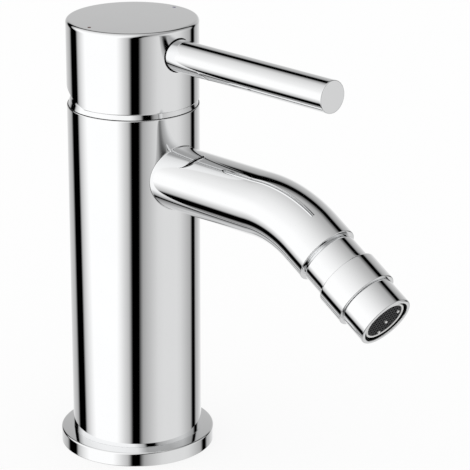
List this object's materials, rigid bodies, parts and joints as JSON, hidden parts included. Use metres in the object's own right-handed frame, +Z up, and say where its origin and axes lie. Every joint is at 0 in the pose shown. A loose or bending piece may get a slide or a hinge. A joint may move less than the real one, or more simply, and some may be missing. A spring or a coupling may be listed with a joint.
{
  "type": "bidet mixer",
  "caption": "Lever-operated bidet mixer: upright column on a round flange, bent spout with a ball-jointed aerator, and a cap with a straight rod lever that lifts and turns.",
  "frame": {"origin": "centre of the underside, on the column's axis, at the deck's surface", "axes": "+Z up along the column, -Y towards the user along the spout and the lever, +X to the user's right when facing +Y, the cold side"},
  "size_m": [0.0534, 0.1483, 0.1522],
  "materials": {
    "chrome": "polished",
    "rubber": "matt",
    "cartridge_plastic": "matt",
    "ceramic": "lapped",
    "brass": "machined",
    "steel": "machined",
    "hot_red": "gloss",
    "cold_blue": "gloss",
    "aerator_grey": "satin",
    "grille_dark": "matt"
  },
  "bodies": {
    "mixer_body": {"base_flange": "chrome", "base_seal": "rubber", "body_casting": "chrome", "port_seals": "rubber", "cartridge_base": "cartridge_plastic", "disc_gasket": "rubber", "fixed_disc": "ceramic", "cartridge_housing": "cartridge_plastic", "retaining_nut": "brass", "cover_dome": "chrome", "neck_washer": "rubber", "swivel_neck": "chrome", "ball_seal": "rubber", "ball_retainer": "brass"},
    "rotor": {"cartridge_rotor": "cartridge_plastic", "pivot_pin": "steel"},
    "handle": {"handle_cap": "chrome", "lever_rod": "chrome", "grub_screw": "steel", "spindle": "steel", "hot_mark": "hot_red", "cold_mark": "cold_blue"},
    "disc": {"disc_carrier": "steel", "moving_disc": "ceramic"},
    "outlet_ring": {"slip_ring": "cartridge_plastic"},
    "outlet": {"ball_stem": "brass", "swivel_collar": "chrome", "aerator_housing": "chrome", "aerator_washer": "rubber", "aerator_screen": "steel", "aerator_insert": "aerator_grey", "aerator_grille": "grille_dark"}
  },
  "joints": [
    {"name": "handle_swivel", "type": "hinge", "parent": "mixer_body", "child": "rotor", "pos_m": [0, 0, 0.1208], "axis": [0, 0, 1], "range_deg": [-50, 50]},
    {"name": "handle_lift", "type": "hinge", "parent": "rotor", "child": "handle", "pos_m": [0, 0, 0.1208], "axis": [-1, 0, 0], "range_deg": [0, 18]},
    {"name": "disc_slide", "type": "slide", "parent": "rotor", "child": "disc", "axis": [0, -1, 0], "range_m": [0, 0.0034]},
    {"name": "outlet_yaw", "type": "hinge", "parent": "mixer_body", "child": "outlet_ring", "pos_m": [0, -0.09824, 0.08633], "axis": [0, -0.524, 0.8517], "range_deg": [-12, 12]},
    {"name": "outlet_pitch", "type": "hinge", "parent": "outlet_ring", "child": "outlet", "pos_m": [0, -0.09824, 0.08633], "axis": [1, 0, 0], "range_deg": [-12, 12]}
  ],
  "couplings": [
    {"joint": "disc_slide", "follows": "handle_lift", "m_per_rad": 0.0108}
  ]
}
